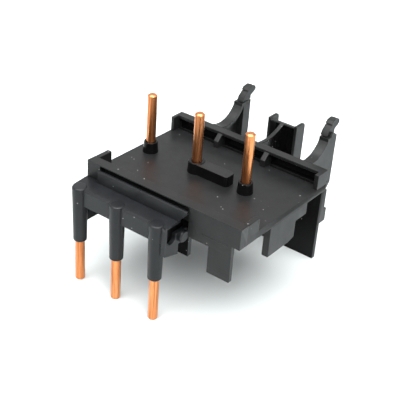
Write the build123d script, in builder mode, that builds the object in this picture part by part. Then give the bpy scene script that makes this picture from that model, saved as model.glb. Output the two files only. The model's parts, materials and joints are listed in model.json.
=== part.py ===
from build123d import *
import os

# Plug-in link module that joins a motor circuit breaker to a contactor. Three bent copper rods run
# from the breaker's terminals, above the deck, to the contactor's terminals, below the front housing.
# Lengths are millimetres. The model stands on its load pins and its rear wall: the origin is at the
# centre of the bounding box's bottom. Places are given from the deck's front left corner: across (X),
# back from the front wall's face (Y) and up from the deck's top (Z).

# Deck and the walls around it
deck_width = 43.3
deck_depth = 34.4
deck_thick = 1.8
wall_top = 3.2
wall_thick = 2.6
wall_skirt = 4.3
return_thick = 1.3
return_end = 6.86
pocket_left, pocket_right, pocket_depth, pocket_lip = 3.9, 29.7, 1.6, 0.3
ledge_left, ledge_right, ledge_front, ledge_top, ledge_bottom = 33.4, 40.2, -0.12, 1.9, 2.2
tab_left, tab_right, tab_bottom, tab_thick = 35.3, 41.3, 11.05, 1.2

# Rail along the back of the deck
rail_front = 30.2
rail_top = 3.7
rail_end_left, rail_end_right = 0.9, 1.1
cap_front, cap_thick = 32.1, 0.85
rail_wall = 1.0
pillar_width = 1.3
pillar_places = (13.9, 27.7)
pillar_front, pillar_slope_start = 30.5, 1.7
deck_groove_depth, deck_groove_width = 0.8, 0.9

# Side skirts below the deck
skirt_thicks = {"left": 1.3, "right": 1.7}
skirt_front, skirt_mid, skirt_back = 11.7, 22.3, 26.7
skirt_step, skirt_bottom = 4.7, 9.4
skirt_slant, skirt_corner = 2.4, 0.5

# Copper rods: line pins stand above the deck, load pins hang below the housing
rod_radius = 1.15
rod_gap = 0.05
rod_chamfer = 0.3
groove_depth, groove_length = 0.2, 0.8
bend_radius = 2.3
run_bend_radius = 4.0
line_pitch, load_pitch = 14.0, 11.38
line_left, line_back = 3.65, 18.03
load_left, load_back = 1.85, -4.34
line_tip, load_tip = 14.9, -26.6
run_height = -4.2
run_turn_back = 7.5
names = ("left", "middle", "right")

# Insulating collars, key pad and sleeves around the rods
collar_base, collar_top, collar_height = 1.9, 1.65, 2.75
middle_collar_base, middle_collar_top = 2.15, 1.95
pad_width, pad_right, pad_height, pad_round = 3.3, 27.6, 2.6, 0.9
sleeve_top_radius, sleeve_end_radius = 1.85, 1.6
sleeve_top, sleeve_end = -1.15, -15.7
sleeve_chamfer, sleeve_round = 0.35, 0.45

# Front housing below the deck, and the tray behind it
housing_front, housing_back = -5.0, 4.5
housing_right = 27.6
housing_top, housing_lip, housing_round = -1.3, -5.65, 0.5
housing_wall, housing_roof, housing_back_wall = 1.3, -3.0, 1.2
housing_back_bottom = -12.2
ridge_foot, ridge_foot_height = -0.9, -1.0
ridge_front, ridge_back, ridge_top, ridge_chamfer = -0.65, -0.1, 2.0, 0.15
ridge_cut_top = 1.4
web_thick = 1.2
web_bottom_front, web_bottom_back = -8.4, -9.7
left_web_bottom = -12.0
notch_front, notch_back, notch_bottom, notch_depth = -4.4, -1.5, -5.95, 0.9
recess_top, recess_bottom, recess_low, recess_front = -1.6, -3.9, -7.0, 2.3
peg_radius, peg_back, peg_height, peg_reach = 1.5, 0.8, -5.3, 0.9
peg_chamfer = 0.3
slot_front, slot_top = -0.35, -7.0
tray_right, tray_back, tray_bottom = 34.8, 21.4, -6.3
tray_round = 2.0

# Rear wall, centre post and the two latch arms
rear_front, rear_thick = 41.2, 1.2
rear_left, rear_right, rear_top = 9.8, 39.0, -7.0
rib_back, rib_bottom = 43.8, -13.5
nub_reach, nub_bottom, nub_overlap = 1.1, -16.6, 0.5
post_left, post_right = 19.9, 28.35
post_front, post_back, post_top, post_wall, post_side = 43.8, 47.8, 5.9, 1.2, 0.75
post_panel_top, post_round = 3.7, 1.0
bar_thick, bar_bottom, bar_top = 1.0, 5.1, 5.5
gusset_left, gusset_right = 23.5, 24.6
arm_width, arm_web, neck_width = 2.5, 0.65, 1.8
flange_thick = 0.9
spine_thick, spine_back, spine_low = 2.9, 44.45, -5.0
nose_front, nose_low, nose_top = 40.6, 6.9, 7.7
curve_middle = (38.8, 4.95)
slit_front, slit_back, slit_bottom, slit_top, slit_depth = 41.3, 43.2, -4.9, -4.55, 0.4
tip = ((42.0, nose_top), (42.5, 8.8), (43.5, 8.35), (spine_back, 7.3))
foot_chamfer = (1.5, 1.8)
pivot_radius, pivot_gap = 0.55, 0.06
neck_reach, neck_room = 0.4, 0.65
pivot = (43.3, 7.2)
head_back = 46.3
tongue_front = ((42.9, 7.2), (42.9, 8.0), (40.85, 8.0), (41.35, 9.1), (42.6, 10.25))
tongue_lip = ((42.95, 10.4), (42.5, 10.6))
tongue_head = ((43.2, 11.25), (44.8, 11.5), (46.0, 11.0), (head_back, 10.3), (46.0, 9.8))
tongue_back = ((44.3, 8.95), (44.3, 8.0), (43.7, 8.0), (43.7, 7.2))
left_arm_shift = (2.4, -0.6)
arms = {"left": (rear_left, 1, left_arm_shift), "right": (rear_right, -1, (0, 0))}

# Where the front left corner of the deck's top stands
front = load_back - sleeve_top_radius
back = head_back + left_arm_shift[0]
corner = (-deck_width / 2, -(front + back) / 2, -load_tip)

os.makedirs("parts", exist_ok=True)


def place(across, depth, height):
    return Vector(corner) + Vector(across, depth, height)


def level(height=0.0):
    """A level plane; its sketches are across and back."""
    return Plane(place(0, 0, height), x_dir=(1, 0, 0), z_dir=(0, 0, 1))


def face_on(depth=0.0):
    """An upright plane seen from the front; its sketches are across and up, and grow backwards."""
    return Plane(place(0, depth, 0), x_dir=(-1, 0, 0), z_dir=(0, 1, 0))


def side_on(across=0.0):
    """An upright plane seen from the side; its sketches are back and up, and grow to the right."""
    return Plane(place(across, 0, 0), x_dir=(0, 1, 0), z_dir=(1, 0, 0))


def rectangle(x_low, x_high, y_low, y_high, mode=Mode.ADD):
    with Locations(((x_low + x_high) / 2, (y_low + y_high) / 2)):
        Rectangle(x_high - x_low, y_high - y_low, mode=mode)


def outline(*points):
    with BuildLine() as edge:
        Polyline(*points, close=True)
    make_face(edge.edges())


def write(part, name):
    part.label = name
    export_step(part, f"parts/{name}.step")


def rod_corners(index):
    line_x = line_left + index * line_pitch
    load_x = load_left + index * load_pitch
    return (
        place(line_x, line_back, line_tip),
        place(line_x, line_back, run_height),
        place(load_x, run_turn_back, run_height),
        place(load_x, load_back, run_height),
        place(load_x, load_back, load_tip),
    )


def rod(index, radius):
    """A round rod along one pole's route, with the given radius."""
    corners = rod_corners(index)
    with BuildPart() as made:
        with BuildLine() as route:
            FilletPolyline(*corners, radius=[bend_radius, run_bend_radius, bend_radius])
        with BuildSketch(Plane(corners[0], z_dir=(0, 0, -1))):
            Circle(radius)
        sweep(path=route.line)
    return made.part


def ring(across, depth, height):
    """The ring that is cut from a rod to leave a retaining groove."""
    with BuildPart() as made:
        with BuildSketch(level(height)):
            with Locations((across, depth)):
                Circle(2 * rod_radius)
                Circle(rod_radius - groove_depth, mode=Mode.SUBTRACT)
        extrude(amount=groove_length)
    return made.part


rod_ways = [rod(index, rod_radius + rod_gap) for index in range(len(names))]
rail_blocks = [(0, rail_end_left)]
rail_blocks += [(middle - pillar_width / 2, middle + pillar_width / 2) for middle in pillar_places]
rail_blocks += [(deck_width - rail_end_right, deck_width)]

# Conductors: each has a retaining groove just inside its collar and its sleeve
for index, name in enumerate(names):
    with BuildPart() as conductor:
        add(rod(index, rod_radius))
        rims = conductor.edges().filter_by(GeomType.CIRCLE).sort_by(Axis.Z)
        chamfer([rims[0], rims[-1]], rod_chamfer)
        line_x, load_x = line_left + index * line_pitch, load_left + index * load_pitch
        add(ring(line_x, line_back, collar_height - groove_length), mode=Mode.SUBTRACT)
        add(ring(load_x, load_back, sleeve_end), mode=Mode.SUBTRACT)
    write(conductor.part, f"conductor_{name}")

# Collars around the line pins
for index, name in enumerate(names):
    middle = name == "middle"
    base, top = (middle_collar_base, middle_collar_top) if middle else (collar_base, collar_top)
    spot = (line_left + index * line_pitch, line_back)
    with BuildPart() as collar:
        with BuildSketch(level()):
            with Locations(spot):
                Circle(base)
        with BuildSketch(level(collar_height)):
            with Locations(spot):
                Circle(top)
        loft()
        add(rod_ways[index], mode=Mode.SUBTRACT)
    write(collar.part, f"pin_collar_{name}")
    if middle:
        middle_collar = collar.part

# Key pad: a raised bar that runs from the middle collar to the right
with BuildPart() as pad:
    with BuildSketch(level()):
        rectangle(line_left + line_pitch, pad_right, line_back - pad_width / 2, line_back + pad_width / 2)
        fillet(vertices().group_by(Axis.X)[-1], pad_round)
    extrude(amount=pad_height)
    add(middle_collar, mode=Mode.SUBTRACT)
    add(rod_ways[1], mode=Mode.SUBTRACT)
write(pad.part.solids().sort_by(Axis.X)[-1], "key_pad")

# Deck, from the front wall back to the rail's rear face, with a groove below the rail's cap
with BuildPart() as deck:
    with BuildSketch(level()):
        rectangle(0, deck_width, wall_thick, deck_depth)
    extrude(amount=-deck_thick)
    with BuildSketch(level()):
        for left, right in zip([block[1] for block in rail_blocks], [block[0] for block in rail_blocks[1:]]):
            rectangle(left, right, cap_front, cap_front + deck_groove_width)
    extrude(amount=-deck_groove_depth, mode=Mode.SUBTRACT)
    for way in rod_ways:
        add(way, mode=Mode.SUBTRACT)
write(deck.part, "terminal_deck")

# Front wall: hollowed behind the housing's ridge, below a thin lip, and deeper to the right of it
with BuildPart() as front_wall:
    with BuildSketch(face_on()):
        rectangle(-deck_width, 0, -deck_thick, wall_top)
    extrude(amount=wall_thick)
    with BuildSketch(face_on()):
        rectangle(-tab_right, -pocket_right, -wall_skirt, -deck_thick)
    extrude(amount=tab_thick)
    with BuildSketch(face_on()):
        rectangle(-pocket_right, -pocket_left, -deck_thick, wall_top - pocket_lip)
    extrude(amount=pocket_depth, mode=Mode.SUBTRACT)
    with BuildSketch(face_on(ledge_front)):
        rectangle(-ledge_right, -ledge_left, -ledge_bottom, -ledge_top)
    extrude(amount=-ledge_front)
write(front_wall.part, "front_wall")

# Short returns at both ends of the front wall
for name, across in (("left", 0), ("right", deck_width - return_thick)):
    with BuildPart() as wall_return:
        with BuildSketch(side_on(across)):
            rectangle(wall_thick, return_end, 0, wall_top)
        extrude(amount=return_thick)
    write(wall_return.part, f"wall_return_{name}")

# Locating tab that hangs from the front wall
with BuildPart() as tab:
    with BuildSketch(face_on()):
        rectangle(-tab_right, -tab_left, -tab_bottom, -wall_skirt)
    extrude(amount=tab_thick)
write(tab.part, "locating_tab")

# Stepped skirts below both sides of the deck
for name, across in (("left", 0), ("right", deck_width - skirt_thicks["right"])):
    with BuildPart() as skirt:
        with BuildSketch(side_on(across)):
            outline(
                (skirt_front, -deck_thick),
                (skirt_front, -skirt_bottom),
                (skirt_mid - skirt_slant, -skirt_bottom),
                (skirt_mid, -skirt_bottom + skirt_corner),
                (skirt_mid, -skirt_step),
                (skirt_back, -skirt_step),
                (skirt_back, -deck_thick),
            )
        extrude(amount=skirt_thicks[name])
    write(skirt.part, f"side_skirt_{name}")

# Rear rail: a cap on a rear wall, with an end block at each side and two ribs that slope to the front
with BuildPart() as rail:
    with BuildSketch(side_on()):
        rectangle(cap_front, deck_depth, rail_top - cap_thick, rail_top)
        rectangle(deck_depth - rail_wall, deck_depth, 0, rail_top)
    extrude(amount=deck_width)
    with BuildSketch(level()):
        for left, right in (rail_blocks[0], rail_blocks[-1]):
            rectangle(left, right, rail_front, deck_depth)
    extrude(amount=rail_top)
    for left, right in rail_blocks[1:-1]:
        with BuildSketch(side_on(left)):
            outline(
                (pillar_front, 0),
                (pillar_front, pillar_slope_start),
                (cap_front, rail_top - cap_thick / 2),
                (deck_depth, rail_top - cap_thick / 2),
                (deck_depth, 0),
            )
        extrude(amount=right - left)
write(rail.part, "rear_rail")

# Sleeves around the load pins, half sunk in the housing's front
sleeves = []
for index, name in enumerate(names):
    spot = (load_left + index * load_pitch, load_back)
    with BuildPart() as sleeve:
        with BuildSketch(level(sleeve_top)):
            with Locations(spot):
                Circle(sleeve_top_radius)
        with BuildSketch(level(sleeve_end)):
            with Locations(spot):
                Circle(sleeve_end_radius)
        loft()
        rims = sleeve.edges().filter_by(GeomType.CIRCLE).sort_by(Axis.Z)
        chamfer(rims[0], sleeve_chamfer)
        fillet(rims[-1], sleeve_round)
        sleeves.append(sleeve.part)
        add(rod_ways[index], mode=Mode.SUBTRACT)
    write(sleeve.part, f"pin_sleeve_{name}")

# Housing: roof, front lip and rear wall in one section, with a web at each end and a ridge on top
inner_back = housing_back - housing_back_wall
with BuildPart() as housing:
    with BuildSketch(side_on()):
        outline(
            (housing_front, housing_lip),
            (housing_front, housing_top - housing_round),
            (housing_front + housing_round, housing_top),
            (ridge_foot, ridge_foot_height),
            (0, ridge_foot_height),
            (0, -deck_thick),
            (housing_back, -deck_thick),
            (housing_back, housing_back_bottom),
            (inner_back, housing_back_bottom),
            (inner_back, housing_roof),
            (housing_front + housing_wall, housing_roof),
            (housing_front + housing_wall, housing_lip),
        )
    extrude(amount=housing_right)
    with BuildSketch(side_on()):
        rectangle(load_back, inner_back, left_web_bottom, housing_roof)
    extrude(amount=web_thick)
    with BuildSketch(side_on(housing_right - web_thick)):
        outline(
            (housing_front, housing_roof),
            (housing_front, web_bottom_front),
            (slot_front, web_bottom_back),
            (slot_front, slot_top),
            (inner_back, slot_top),
            (inner_back, housing_roof),
        )
    extrude(amount=web_thick)
    with BuildSketch(side_on(housing_right - notch_depth)):
        rectangle(notch_front, notch_back, notch_bottom, recess_top)
        fillet(vertices().group_by(Axis.Y)[0], (notch_back - notch_front) / 2 - rod_gap)
        rectangle(notch_front, housing_back, recess_bottom, recess_top)
        rectangle(recess_front, housing_back, recess_low, recess_bottom)
    extrude(amount=notch_depth, mode=Mode.SUBTRACT)
    with BuildSketch(side_on(pocket_left)):
        outline(
            (ridge_foot, ridge_foot_height),
            (ridge_front, ridge_top - ridge_chamfer),
            (ridge_front + ridge_chamfer, ridge_top),
            (ridge_back, ridge_top),
            (ridge_back, ridge_foot_height),
        )
    extrude(amount=pocket_right - pocket_left)
    with BuildSketch(face_on(ridge_foot)):
        outline(
            (-housing_right, ridge_foot_height),
            (-pocket_right, ridge_cut_top),
            (-pocket_right, ridge_foot_height),
        )
    extrude(amount=-ridge_foot, mode=Mode.SUBTRACT)
    for cut in sleeves + rod_ways:
        add(cut, mode=Mode.SUBTRACT)
write(housing.part, "front_housing")

# Snap peg on the housing's right web
with BuildPart() as peg:
    with BuildSketch(side_on(housing_right)):
        with Locations((peg_back, peg_height)):
            Circle(peg_radius)
    extrude(amount=peg_reach)
    chamfer(peg.edges().filter_by(GeomType.CIRCLE).sort_by(Axis.X)[-1], peg_chamfer)
write(peg.part, "snap_peg")

# Tray that carries the rods under the deck, each in a channel that is open to the deck
with BuildPart() as tray:
    with BuildSketch(level(tray_bottom)):
        rectangle(0, tray_right, housing_back, tray_back)
        rectangle(0, skirt_thicks["left"], skirt_front, tray_back, mode=Mode.SUBTRACT)
        fillet(vertices().group_by(Axis.Y)[-1], tray_round)
    extrude(amount=-deck_thick - tray_bottom)
    for index, way in enumerate(rod_ways):
        add(way, mode=Mode.SUBTRACT)
        with BuildSketch(level(run_height)):
            with BuildLine():
                Polyline(*[point - Vector(corner) for point in rod_corners(index)[1:4]])
            trace(line_width=2 * (rod_radius + 2 * rod_gap))
        extrude(amount=-deck_thick - run_height, mode=Mode.SUBTRACT)
write(tray.part, "conductor_tray")

# Rear wall with a short rib and a nub behind each end
with BuildPart() as rear:
    with BuildSketch(side_on(rear_left)):
        rectangle(rear_front, rear_front + rear_thick, load_tip, rear_top)
    extrude(amount=rear_right - rear_left)
    for across in (rear_left, rear_right - post_wall):
        with BuildSketch(side_on(across)):
            rectangle(rear_front, rib_back, rib_bottom, rear_top)
            rectangle(rear_front, rib_back + nub_reach, nub_bottom, rib_bottom + nub_overlap)
            fillet(vertices().group_by(Axis.Y)[-1], nub_overlap)
        extrude(amount=post_wall)
write(rear.part, "rear_wall")

# Centre post: two side walls and a rear panel, open to the front below a bar across the top
with BuildPart() as post:
    with BuildSketch(level(rib_bottom)):
        for left, right in ((post_left, post_left + post_side), (post_right - post_side, post_right)):
            rectangle(left, right, post_front, post_back)
    extrude(amount=post_top - rib_bottom)
    fillet(post.edges().filter_by(Axis.X).group_by(Axis.Z)[-1].group_by(Axis.Y)[-1], post_round)
    with BuildSketch(side_on(post_left)):
        rectangle(post_back - post_wall, post_back, rib_bottom, post_panel_top)
        rectangle(post_front, post_front + bar_thick, bar_bottom, bar_top)
    extrude(amount=post_right - post_left)
write(post.part, "centre_post")

# Gusset from the rail, over the rear wall, to the post's bar and rear panel
with BuildPart() as gusset:
    with BuildSketch(side_on(gusset_left)):
        with BuildLine():
            rise = ThreePointArc((deck_depth, rail_top), (40.6, 4.0), (post_front, bar_top - 0.1))
            Polyline(
                rise @ 1,
                (post_front, bar_bottom),
                (post_front + bar_thick, bar_bottom),
                (post_back - post_wall, post_panel_top),
                (post_back - post_wall, rib_bottom),
                (rear_front + rear_thick, rib_bottom),
                (rear_front + rear_thick, rear_top),
                (rear_front, rear_top),
                (deck_depth, -deck_thick),
                rise @ 0,
            )
        make_face()
    extrude(amount=gusset_right - gusset_left)
write(gusset.part, "post_gusset")


def moved(points, shift):
    return [(point[0] + shift[0], point[1] + shift[1]) for point in points]


def arm_face(shift, crown):
    """The arm's side outline: a curved front, a nose, the given crown and a straight back."""
    back_edge = spine_back + shift[0]
    with BuildLine() as edge:
        curve = ThreePointArc(
            (deck_depth, rail_top), *moved([curve_middle, (nose_front, nose_low)], shift)
        )
        Polyline(
            curve @ 1,
            *moved([(nose_front, nose_top), *crown], shift),
            (back_edge, rear_top + foot_chamfer[1]),
            (back_edge - foot_chamfer[0], rear_top),
            (rear_front, rear_top),
            (deck_depth, -deck_thick),
            curve @ 0,
        )
    make_face(edge.edges())


for name, (outer, inward, shift) in arms.items():
    # Bracket: a thin outer web with a tip, a flange along its curved front, and a nose and a spine
    left = outer if inward > 0 else outer - arm_width
    web_left = outer if inward > 0 else outer - arm_web
    neck_left = outer + arm_width - neck_width if inward > 0 else left
    inner_left = outer + arm_web if inward > 0 else left
    pivot_spot = (pivot[0] + shift[0], pivot[1] + shift[1])
    flat_crown = [(spine_back, nose_top)]
    spine, nose = spine_back + shift[0], nose_top + shift[1]
    with BuildPart() as bracket:
        with BuildSketch(side_on(web_left)):
            arm_face(shift, tip)
        extrude(amount=arm_web)
        with BuildSketch(side_on(left)):
            arm_face(shift, flat_crown)
            offset(amount=-flange_thick, mode=Mode.SUBTRACT)
        extrude(amount=arm_width)
        with BuildSketch(side_on(left)):
            arm_face(shift, flat_crown)
            with BuildSketch(mode=Mode.INTERSECT):
                rectangle(nose_front + shift[0], spine, nose_low + shift[1], nose)
                rectangle(spine - spine_thick, spine, spine_low, nose)
        extrude(amount=arm_width)
        with BuildSketch(side_on(inner_left)):
            with Locations(pivot_spot):
                Circle(pivot_radius + pivot_gap)
            rectangle(
                pivot_spot[0] - neck_reach - pivot_gap,
                pivot_spot[0] + neck_room,
                pivot_spot[1],
                nose_top + shift[1],
            )
        extrude(amount=arm_width - arm_web, mode=Mode.SUBTRACT)
        with BuildSketch(side_on(outer if inward > 0 else outer - slit_depth)):
            rectangle(slit_front + shift[0], slit_back + shift[0], slit_bottom, slit_top)
        extrude(amount=slit_depth, mode=Mode.SUBTRACT)
    write(bracket.part, f"arm_bracket_{name}")

    # Latch: a leaning tongue on a round root, with a head that hooks forwards
    with BuildPart() as latch:
        with BuildSketch(side_on(neck_left)):
            outline(*moved(tongue_front + tongue_lip + tongue_head + tongue_back, shift))
            with Locations(pivot_spot):
                Circle(pivot_radius)
        extrude(amount=neck_width)
    write(latch.part, f"latch_{name}")
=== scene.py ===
"""Looks of a plug-in link module: moulded black plastic around three bare copper rods."""

import json
import math

import bmesh
import bpy
from mathutils import Matrix, Vector
from mathutils.bvhtree import BVHTree

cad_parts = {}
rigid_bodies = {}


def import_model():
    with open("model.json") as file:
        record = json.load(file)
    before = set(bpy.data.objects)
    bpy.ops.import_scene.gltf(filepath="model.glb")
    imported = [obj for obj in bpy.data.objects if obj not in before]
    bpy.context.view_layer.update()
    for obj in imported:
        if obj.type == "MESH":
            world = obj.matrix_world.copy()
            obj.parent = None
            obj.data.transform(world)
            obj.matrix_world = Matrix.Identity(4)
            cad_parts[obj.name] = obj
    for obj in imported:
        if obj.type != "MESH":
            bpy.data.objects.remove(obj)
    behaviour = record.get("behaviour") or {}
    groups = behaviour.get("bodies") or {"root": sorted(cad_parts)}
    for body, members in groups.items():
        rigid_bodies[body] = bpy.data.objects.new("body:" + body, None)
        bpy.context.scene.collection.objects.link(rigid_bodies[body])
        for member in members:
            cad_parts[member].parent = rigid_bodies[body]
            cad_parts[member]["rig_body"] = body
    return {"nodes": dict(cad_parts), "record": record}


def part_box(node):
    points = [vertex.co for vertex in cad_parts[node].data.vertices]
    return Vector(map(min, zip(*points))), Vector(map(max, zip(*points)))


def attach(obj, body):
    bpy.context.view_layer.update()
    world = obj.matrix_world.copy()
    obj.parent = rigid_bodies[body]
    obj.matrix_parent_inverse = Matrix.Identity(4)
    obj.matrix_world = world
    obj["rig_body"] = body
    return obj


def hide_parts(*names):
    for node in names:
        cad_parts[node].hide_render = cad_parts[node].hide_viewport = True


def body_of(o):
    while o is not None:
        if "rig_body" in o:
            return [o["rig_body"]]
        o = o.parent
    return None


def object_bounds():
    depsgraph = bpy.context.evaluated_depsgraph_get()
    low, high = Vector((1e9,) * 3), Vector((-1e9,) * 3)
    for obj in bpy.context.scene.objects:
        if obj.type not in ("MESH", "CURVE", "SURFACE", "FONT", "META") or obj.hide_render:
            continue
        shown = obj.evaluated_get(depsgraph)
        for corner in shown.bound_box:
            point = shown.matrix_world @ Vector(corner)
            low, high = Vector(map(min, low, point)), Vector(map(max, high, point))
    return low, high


MM = 0.001

# Meshes: which corners are one, which faces are flat, which edges are sharp and how far they are rounded
SAME_CORNER = 0.001 * MM
FLAT_ANGLE = math.radians(0.5)
SHARP_ANGLE = math.radians(32.0)
TOUCH_REACH = 0.03 * MM
EDGE_PROBES, MOST_TOUCHING = (0.12, 0.5, 0.88), 1
EDGE_WIDTH, EDGE_SEGMENTS = 0.16 * MM, 3

# Plastic: texture scales are per metre, and heights are metres
CLOUDS, CLOUD_RANGE, CLOUD_SHADES = 180.0, (0.3, 0.7), (0.8, 1.2)
FLECKS, FLECK_RANGE, FLECK_SHARE, FLECK_SHADE = 5200.0, (0.64, 0.8), 0.5, 3.0
DUST_CELLS, DUST_SIZE = 640.0, 0.085
DUST_CLUSTERS, DUST_RARITY = 420.0, 0.6
DUST_SHARE, DUST_TONE = 0.7, (0.34, 0.34, 0.33)
PATCHES, PATCH_RANGE, PATCH_LOW, PATCH_HIGH = 260.0, (0.3, 0.7), -0.05, 0.07
GRAIN, GRAIN_HEIGHT, GRAIN_STRENGTH = 3600.0, 0.00003, 0.28
WAVES, WAVE_HEIGHT, WAVE_STRENGTH = 120.0, 0.0001, 0.06
PLASTIC_SHEEN, PLASTIC_IOR = 0.26, 1.5

# Copper: draw lines run up the rods, and blotches of tarnish are longer than they are wide
LINES, LINE_RANGE, LINE_SHARE, LINE_SHADE = (2600.0, 2600.0, 60.0), (0.46, 0.62), 0.75, (0.42, 0.3, 0.22)
BLOTCHES, BLOTCH_RANGE, BLOTCH_SHADE = (330.0, 330.0, 120.0), (0.35, 0.72), (0.78, 0.64, 0.54)
DULL_RANGE, DULL_MORE = (0.3, 0.75), 0.18
LINE_HEIGHT, LINE_STRENGTH = 0.00004, 0.3
NICKS, NICK_HEIGHT, NICK_STRENGTH = 900.0, 0.00005, 0.2

# Faces painted with shade, a darker and smoother black: what counts as facing one way, and where the
# housing's recess lies
FACING = 0.7
FACE_REACH = 0.01 * MM
RECESS_DEPTH, RECESS_REACH = 0.9 * MM, 0.05 * MM
# By node, the faces that get painted shade: the way such faces look, and how far back in their node they
# stand
PAINTED_SHADE_FACES = {
    "key_pad": ("sides", 0.0),
    "pin_collar_left": ("all", 0.0),
    "pin_collar_middle": ("all", 0.0),
    "pin_collar_right": ("all", 0.0),
    "rear_rail": ("forward", 0.7),
    "rear_wall": ("forward", 0.0),
    "centre_post": ("forward", 0.5),
    "front_housing": ("recess", 0.8),
    "post_gusset": ("sideways", 0.0),
}

# Studio: each panel of light has a place, a size in metres and a power, and faces the origin
PANELS = {
    "top": ((0.9, -2.4, 8.0), 12.0, 2475.0),
    "fill": ((0.0, 0.0, 8.0), 40.0, 1200.0),
    "side": ((8.0, -3.2, 8.0), 9.6, 620.0),
}
WORLD_COLOUR, WORLD_STRENGTH = (1.0, 1.0, 1.0, 1.0), 0.85
FLOOR_HALF, FLOOR_CELLS = 3.0, 8
FLOOR_COLOUR, FLOOR_ROUGH, FLOOR_SHEEN = (0.7, 0.74, 0.74, 1.0), 0.6, 0.2

# Camera: its direction and roll, its distance and lens, and its aim from the model's middle
AZIMUTH, ELEVATION, ROLL = math.radians(35.58), math.radians(30.96), math.radians(4.3)
DISTANCE, LENS = 0.2, 82.98
AIM = Vector((6.93, -16.05, 8.0)) * MM
NEAREST, FARTHEST = 0.01, 20.0

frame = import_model()
cad_low, cad_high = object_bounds()
nodes = frame["nodes"]
slots = {entry["node"]: entry["material_slot"] for entry in frame["record"]["subparts"]}


# ---------------------------------------------------------------- material helpers
class Graph:
    """A material's node tree, with short calls for its nodes and links."""

    def __init__(self, name):
        self.material = bpy.data.materials.new(name)
        self.material.use_nodes = True
        self.tree = self.material.node_tree
        self.shader = self.tree.nodes["Principled BSDF"]
        self.place = self.add("ShaderNodeTexCoord").outputs["Object"]

    def add(self, kind, **values):
        node = self.tree.nodes.new(kind)
        for key, value in values.items():
            setattr(node, key, value)
        return node

    def link(self, source, target):
        self.tree.links.new(source, target)

    def set(self, **values):
        for key, value in values.items():
            self.shader.inputs[key.replace("_", " ")].default_value = value

    def stretched(self, scales):
        node = self.add("ShaderNodeMapping")
        node.inputs["Scale"].default_value = scales
        self.link(self.place, node.inputs["Vector"])
        return node.outputs["Vector"]

    def noise(self, scale, detail, rough, where=None):
        node = self.add("ShaderNodeTexNoise")
        node.inputs["Scale"].default_value = scale
        node.inputs["Detail"].default_value = detail
        node.inputs["Roughness"].default_value = rough
        self.link(where or self.place, node.inputs["Vector"])
        return node.outputs["Fac"]

    def cells(self, scale):
        node = self.add("ShaderNodeTexVoronoi")
        node.inputs["Scale"].default_value = scale
        self.link(self.place, node.inputs["Vector"])
        return node.outputs["Distance"]

    def spread(self, value, low, high, to_low=0.0, to_high=1.0):
        node = self.add("ShaderNodeMapRange")
        for key, number in zip(("From Min", "From Max", "To Min", "To Max"), (low, high, to_low, to_high)):
            node.inputs[key].default_value = number
        self.link(value, node.inputs["Value"])
        return node.outputs["Result"]

    def maths(self, operation, first, second):
        node = self.add("ShaderNodeMath", operation=operation)
        for socket, value in zip(node.inputs, (first, second)):
            if isinstance(value, (int, float)):
                socket.default_value = value
            else:
                self.link(value, socket)
        return node.outputs[0]

    def mix(self, share, first, second):
        node = self.add("ShaderNodeMix", data_type="RGBA")
        self.link(share, node.inputs["Factor"])
        for socket, value in zip((node.inputs[6], node.inputs[7]), (first, second)):
            if isinstance(value, tuple):
                socket.default_value = (*value, 1.0)
            else:
                self.link(value, socket)
        return node.outputs[2]

    def bump(self, height, distance, strength, normal=None):
        node = self.add("ShaderNodeBump")
        node.inputs["Distance"].default_value = distance
        node.inputs["Strength"].default_value = strength
        self.link(height, node.inputs["Height"])
        if normal:
            self.link(normal, node.inputs["Normal"])
        return node.outputs["Normal"]


def shade(tone, factors):
    """A colour times a factor for each of its channels."""
    return tuple(factor * value for factor, value in zip(factors, tone))


def grey_shade(tone, factor):
    return shade(tone, (factor, factor, factor))


def plastic(name, tone, rough, sheen=PLASTIC_SHEEN):
    """Moulded black polyamide: its sheen is stronger than its colour, over a fine spark texture."""
    g = Graph(name)
    cloud = g.spread(g.noise(CLOUDS, 4.0, 0.6), *CLOUD_RANGE)
    body = g.mix(cloud, *(grey_shade(tone, factor) for factor in CLOUD_SHADES))
    fleck = g.spread(g.noise(FLECKS, 1.0, 0.4), *FLECK_RANGE, 0.0, FLECK_SHARE)
    body = g.mix(fleck, body, grey_shade(tone, FLECK_SHADE))
    speck = g.maths("LESS_THAN", g.cells(DUST_CELLS), DUST_SIZE)
    rare = g.maths("GREATER_THAN", g.noise(DUST_CLUSTERS, 1.0, 0.5), DUST_RARITY)
    dust = g.maths("MULTIPLY", g.maths("MULTIPLY", speck, rare), DUST_SHARE)
    g.link(g.mix(dust, body, DUST_TONE), g.shader.inputs["Base Color"])
    patchy = g.spread(g.noise(PATCHES, 3.0, 0.6), *PATCH_RANGE, rough + PATCH_LOW, rough + PATCH_HIGH)
    g.link(patchy, g.shader.inputs["Roughness"])
    grain = g.bump(g.noise(GRAIN, 3.0, 0.65), GRAIN_HEIGHT, GRAIN_STRENGTH)
    waves = g.bump(g.noise(WAVES, 2.0, 0.5), WAVE_HEIGHT, WAVE_STRENGTH, grain)
    g.link(waves, g.shader.inputs["Normal"])
    g.set(Specular_IOR_Level=sheen, IOR=PLASTIC_IOR)
    return g.material


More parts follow.
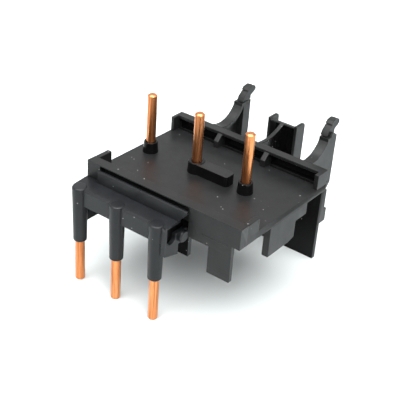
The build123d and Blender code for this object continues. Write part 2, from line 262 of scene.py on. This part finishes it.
def copper(name, tone, rough):
    """Bare drawn copper: lengthwise draw lines, blotches of tarnish and small nicks."""
    g = Graph(name)
    lines = g.noise(1.0, 4.0, 0.6, g.stretched(LINES))
    blotch = g.noise(1.0, 3.0, 0.6, g.stretched(BLOTCHES))
    warm = g.mix(g.spread(blotch, *BLOTCH_RANGE), tone, shade(tone, BLOTCH_SHADE))
    body = g.mix(g.spread(lines, *LINE_RANGE, 0.0, LINE_SHARE), warm, shade(tone, LINE_SHADE))
    g.link(body, g.shader.inputs["Base Color"])
    g.link(g.spread(lines, *DULL_RANGE, rough, rough + DULL_MORE), g.shader.inputs["Roughness"])
    draw = g.bump(lines, LINE_HEIGHT, LINE_STRENGTH)
    nicks = g.bump(g.noise(NICKS, 2.0, 0.5), NICK_HEIGHT, NICK_STRENGTH, draw)
    g.link(nicks, g.shader.inputs["Normal"])
    g.set(Metallic=1.0)
    return g.material


MATERIALS = {
    "body_plastic": plastic("moulded_black", (0.0085, 0.0089, 0.0092), rough=0.4),
    "cover_plastic": plastic("moulded_charcoal", (0.0085, 0.0095, 0.0108), rough=0.32),
    "copper": copper("drawn_copper", (0.79, 0.335, 0.142), rough=0.22),
}
# Painted shade: a darker black with weaker sheen, and also smoother, for the collars, the key pad's sides
# and faces that look into shade
SMOOTH_PAINTED_SHADE = plastic("smooth_black_painted_shade", (0.003, 0.003, 0.0033), rough=0.14, sheen=0.14)
# Painted shade: a near-black with almost no sheen for the housing's recess and the forward faces behind it
SHADED = plastic("shaded_black", (0.002, 0.002, 0.0022), rough=0.3, sheen=0.02)


# ---------------------------------------------------------------- pieces from the frame
def clean_copy(source):
    """A node's mesh as a bmesh with shared corners and whole flat faces."""
    bm = bmesh.new()
    bm.from_mesh(source.data)
    bmesh.ops.remove_doubles(bm, verts=bm.verts, dist=SAME_CORNER)
    bmesh.ops.dissolve_limit(bm, angle_limit=FLAT_ANGLE, verts=bm.verts, edges=bm.edges)
    return bm


def surface_tree(source):
    bm = bmesh.new()
    bm.from_mesh(source.data)
    tree = BVHTree.FromBMesh(bm)
    bm.free()
    return tree


TREES = {name: surface_tree(node) for name, node in nodes.items()}
# Nodes that are one moulding in the real thing
MOULDINGS = (
    [n for n in nodes if slots[n] == "body_plastic" and not n.startswith("latch")],
    [n for n in nodes if slots[n] == "cover_plastic" and n != "conductor_tray"],
)


def touches(point, name, others):
    """True where a point of one node lies on another node of the same moulding."""
    for other in others:
        if other != name and TREES[other].find_nearest(point, TOUCH_REACH)[0] is not None:
            return True
    return False


def mark_sharp(bm, name, others):
    """Gives each edge that shows a bevel weight; an edge inside a moulding stays a plain sharp one."""
    layer = bm.edges.layers.float.new("bevel_weight_edge")
    for edge in bm.edges:
        if len(edge.link_faces) != 2 or edge.calc_face_angle(0.0) < SHARP_ANGLE:
            continue
        first, last = (v.co for v in edge.verts)
        probes = [first.lerp(last, share) for share in EDGE_PROBES]
        if sum(touches(probe, name, others) for probe in probes) <= MOST_TOUCHING:
            edge[layer] = 1.0
        else:
            edge.smooth = False


def paint_shade(mesh, way, depth):
    """Gives the second material, a painted shade, to the faces that look the given way."""
    spots = [v.co.y for v in mesh.vertices]
    line = min(spots) + depth * (max(spots) - min(spots))
    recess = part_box("snap_peg")[0].x - RECESS_DEPTH
    for face in mesh.polygons:
        forward = face.normal.y < -FACING and face.center.y > line - FACE_REACH
        in_recess = face.normal.x > FACING and abs(face.center.x - recess) < RECESS_REACH
        looks = {
            "all": True,
            "sides": face.normal.z < FACING,
            "forward": forward,
            "sideways": abs(face.normal.x) > FACING,
            "recess": forward or in_recess,
        }
        if looks[way]:
            face.material_index = 1


def round_edges(made):
    bevel = made.modifiers.new("edges", "BEVEL")
    bevel.limit_method = "WEIGHT"
    bevel.width = EDGE_WIDTH
    bevel.segments = EDGE_SEGMENTS
    bevel.miter_outer = "MITER_ARC"
    bevel.use_clamp_overlap = True
    bevel.harden_normals = False
    weighted = made.modifiers.new("normals", "WEIGHTED_NORMAL")
    weighted.keep_sharp = True


def piece(name):
    """A plastic node as its own mesh, with rounded edges where they show."""
    source = nodes[name]
    bm = clean_copy(source)
    mark_sharp(bm, name, next((group for group in MOULDINGS if name in group), []))
    mesh = bpy.data.meshes.new(name)
    bm.to_mesh(mesh)
    bm.free()
    mesh.shade_smooth()
    made = bpy.data.objects.new("vis_" + name, mesh)
    bpy.context.scene.collection.objects.link(made)
    round_edges(made)
    mesh.materials.append(MATERIALS[slots[name]])
    # Faces that lie in shade get a painted shade as their second material
    if name in PAINTED_SHADE_FACES:
        mesh.materials.append(SHADED if name == "front_housing" else SMOOTH_PAINTED_SHADE)
        paint_shade(mesh, *PAINTED_SHADE_FACES[name])
    body = body_of(source)
    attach(made, body if isinstance(body, str) else body[0])
    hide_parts(name)


for name in sorted(nodes):
    if slots[name] == "copper":
        nodes[name].data.materials.clear()
        nodes[name].data.materials.append(MATERIALS["copper"])
    else:
        piece(name)


# ---------------------------------------------------------------- floor, light and camera
def panel(name, place, size, power):
    data = bpy.data.lights.new(name, "AREA")
    data.shape = "SQUARE"
    data.size = size
    data.energy = power
    lamp = bpy.data.objects.new(name, data)
    bpy.context.scene.collection.objects.link(lamp)
    lamp.location = place
    lamp.rotation_mode = "QUATERNION"
    lamp.rotation_quaternion = (Vector() - Vector(place)).to_track_quat("-Z", "Y")


def floor():
    bm = bmesh.new()
    bmesh.ops.create_grid(bm, x_segments=FLOOR_CELLS, y_segments=FLOOR_CELLS, size=FLOOR_HALF)
    mesh = bpy.data.meshes.new("floor")
    bm.to_mesh(mesh)
    bm.free()
    made = bpy.data.objects.new("floor", mesh)
    bpy.context.scene.collection.objects.link(made)
    made.location.z = cad_low.z
    g = Graph("pale_floor")
    g.set(Base_Color=FLOOR_COLOUR, Roughness=FLOOR_ROUGH, Specular_IOR_Level=FLOOR_SHEEN)
    mesh.materials.append(g.material)


def world():
    """A white surround that glossy surfaces reflect and matt ones don't take light from."""
    made = bpy.data.worlds.new("studio")
    made.use_nodes = True
    background = made.node_tree.nodes["Background"]
    background.inputs["Color"].default_value = WORLD_COLOUR
    background.inputs["Strength"].default_value = WORLD_STRENGTH
    made.cycles_visibility.diffuse = False
    bpy.context.scene.world = made


def camera():
    """The camera stands to the right and in front, above the deck, and rolls a little."""
    aim = (cad_low + cad_high) / 2 + AIM
    across, up = math.cos(ELEVATION), math.sin(ELEVATION)
    back = Vector((math.sin(AZIMUTH) * across, -math.cos(AZIMUTH) * across, up))
    data = bpy.data.cameras.new("camera")
    data.lens = LENS
    data.clip_start, data.clip_end = NEAREST, FARTHEST
    made = bpy.data.objects.new("camera", data)
    bpy.context.scene.collection.objects.link(made)
    made.location = aim + back * DISTANCE
    turn = (-back).to_track_quat("-Z", "Y").to_matrix() @ Matrix.Rotation(ROLL, 3, "Z")
    made.rotation_mode = "QUATERNION"
    made.rotation_quaternion = turn.to_quaternion()
    bpy.context.scene.camera = made


floor()
world()
for name, values in PANELS.items():
    panel(name, *values)
camera()
bpy.context.scene.view_settings.view_transform = "Standard"
